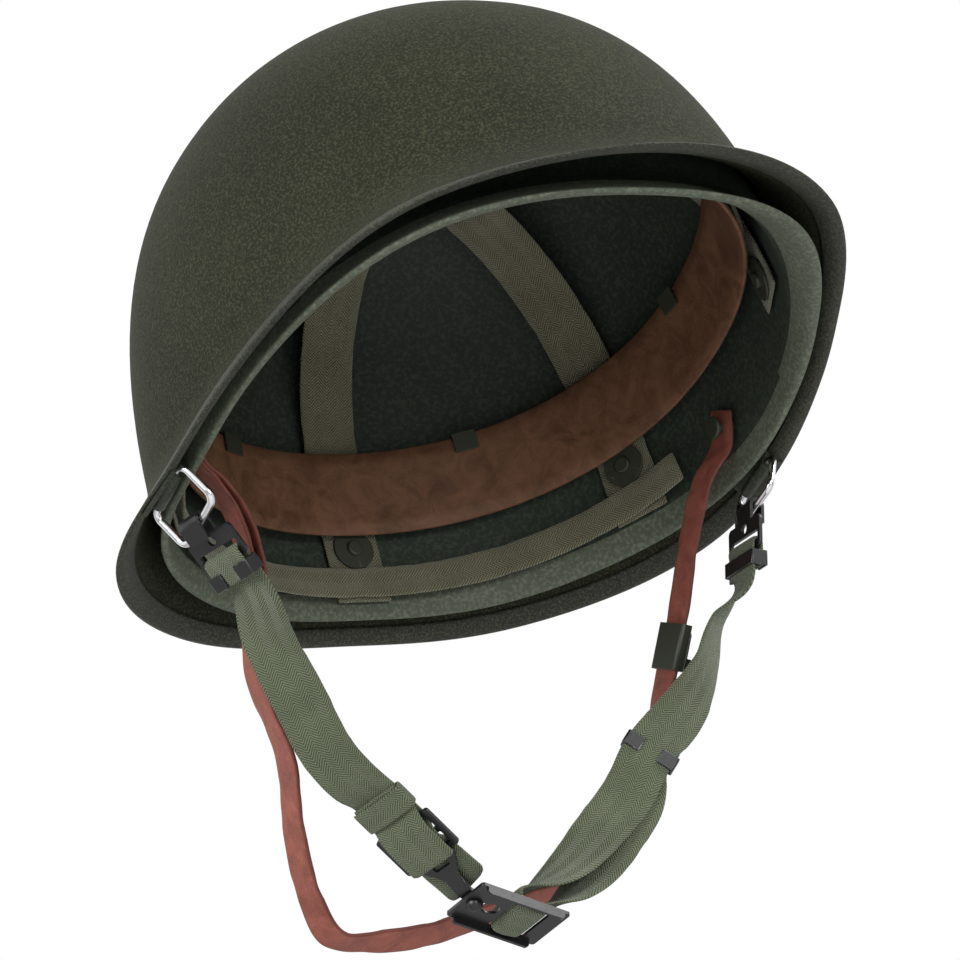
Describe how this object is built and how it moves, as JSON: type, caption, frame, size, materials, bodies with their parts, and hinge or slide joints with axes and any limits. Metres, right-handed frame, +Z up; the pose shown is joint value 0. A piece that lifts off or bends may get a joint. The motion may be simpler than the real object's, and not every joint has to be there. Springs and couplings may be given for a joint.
{
  "type": "steel pot helmet",
  "caption": "Military steel pot helmet with a moulded liner, webbing suspension, hooked webbing chin strap and leather liner strap.",
  "frame": {"origin": "centre of the opening for the head, level with the lowest part of the pot's rim", "axes": "+Z up through the crown, -Y forwards to the visor, +X towards the wearer's left"},
  "size_m": [0.252, 0.2884, 0.3057],
  "materials": {
    "pot_paint": "sand textured dark olive paint, matte, with small chips",
    "edging_paint": "olive paint worn thin on the fold, matte",
    "bracket_paint": "dark olive paint, satin",
    "bail_steel": "bright plated wire",
    "black_hardware": "black japan, satin, worn at the edges",
    "strap_webbing": "olive herringbone cotton webbing",
    "liner_fibre": "grey green moulded fibre, matte",
    "liner_hardware": "dark olive paint, satin",
    "liner_webbing": "khaki cotton webbing",
    "lace": "off-white cotton lace",
    "leather": "reddish brown leather, lightly polished",
    "buckle_paint": "dark painted steel, satin"
  },
  "bodies": {
    "liner": {"liner_shell": "liner_fibre", "suspension_washers": "liner_hardware", "suspension_rivets": "liner_hardware", "crown_straps": "liner_webbing", "crown_cord": "lace", "head_band": "liner_webbing", "sweat_band": "leather", "band_clips": "liner_hardware", "nape_strap": "liner_webbing", "strap_studs": "liner_hardware"},
    "pot": {"steel_shell": "pot_paint", "rim_edging": "edging_paint", "loop_bracket_right": "bracket_paint", "loop_bracket_left": "bracket_paint"},
    "bail_right": {"strap_loop_right": "bail_steel"},
    "bail_left": {"strap_loop_left": "bail_steel"},
    "chin_strap": {"strap_clip_right": "black_hardware", "strap_clip_left": "black_hardware", "webbing_crimp_right": "black_hardware", "webbing_crimp_left": "black_hardware", "chin_webbing_right": "strap_webbing", "chin_webbing_left": "strap_webbing", "webbing_keeper": "strap_webbing", "left_keeper": "black_hardware", "adjuster_slide": "black_hardware", "chin_hook": "black_hardware", "hook_plate": "black_hardware"},
    "leather": {"leather_strap": "leather", "leather_buckle": "buckle_paint"},
    "buckle_lever": {"leather_buckle_lever": "buckle_paint"}
  },
  "joints": [
    {"name": "pot_lift", "type": "slide", "parent": "liner", "child": "pot", "axis": [0, 0, 1], "range_m": [0, 0.004]},
    {"name": "bail_right", "type": "hinge", "parent": "pot", "child": "bail_right", "pos_m": [-0.1185, 0.013, 0.008], "axis": [0, 0.9903, -0.1392], "range_deg": [-8, 8]},
    {"name": "bail_left", "type": "hinge", "parent": "pot", "child": "bail_left", "pos_m": [0.1185, 0.013, 0.008], "axis": [0, 0.9903, -0.1392], "range_deg": [-8, 8]},
    {"name": "chin_strap", "type": "hinge", "parent": "bail_right", "child": "chin_strap", "pos_m": [-0.11104, 0.01103, -0.00602], "axis": [0, 0.9903, -0.1392], "range_deg": [-8.6, 8.6]},
    {"name": "leather_strap", "type": "hinge", "parent": "liner", "child": "leather", "pos_m": [0, 0.009, 0.027], "axis": [1, 0, 0], "range_deg": [0, 20]},
    {"name": "buckle_lever", "type": "hinge", "parent": "leather", "child": "buckle_lever", "pos_m": [0.08782, 0.05293, -0.04611], "axis": [0, 0.8572, 0.515], "range_deg": [0, 60]}
  ],
  "couplings": [
    {"joint": "bail_left", "follows": "bail_right", "ratio": 1},
    {"joint": "chin_strap", "follows": "bail_right", "ratio": -1.0672}
  ]
}
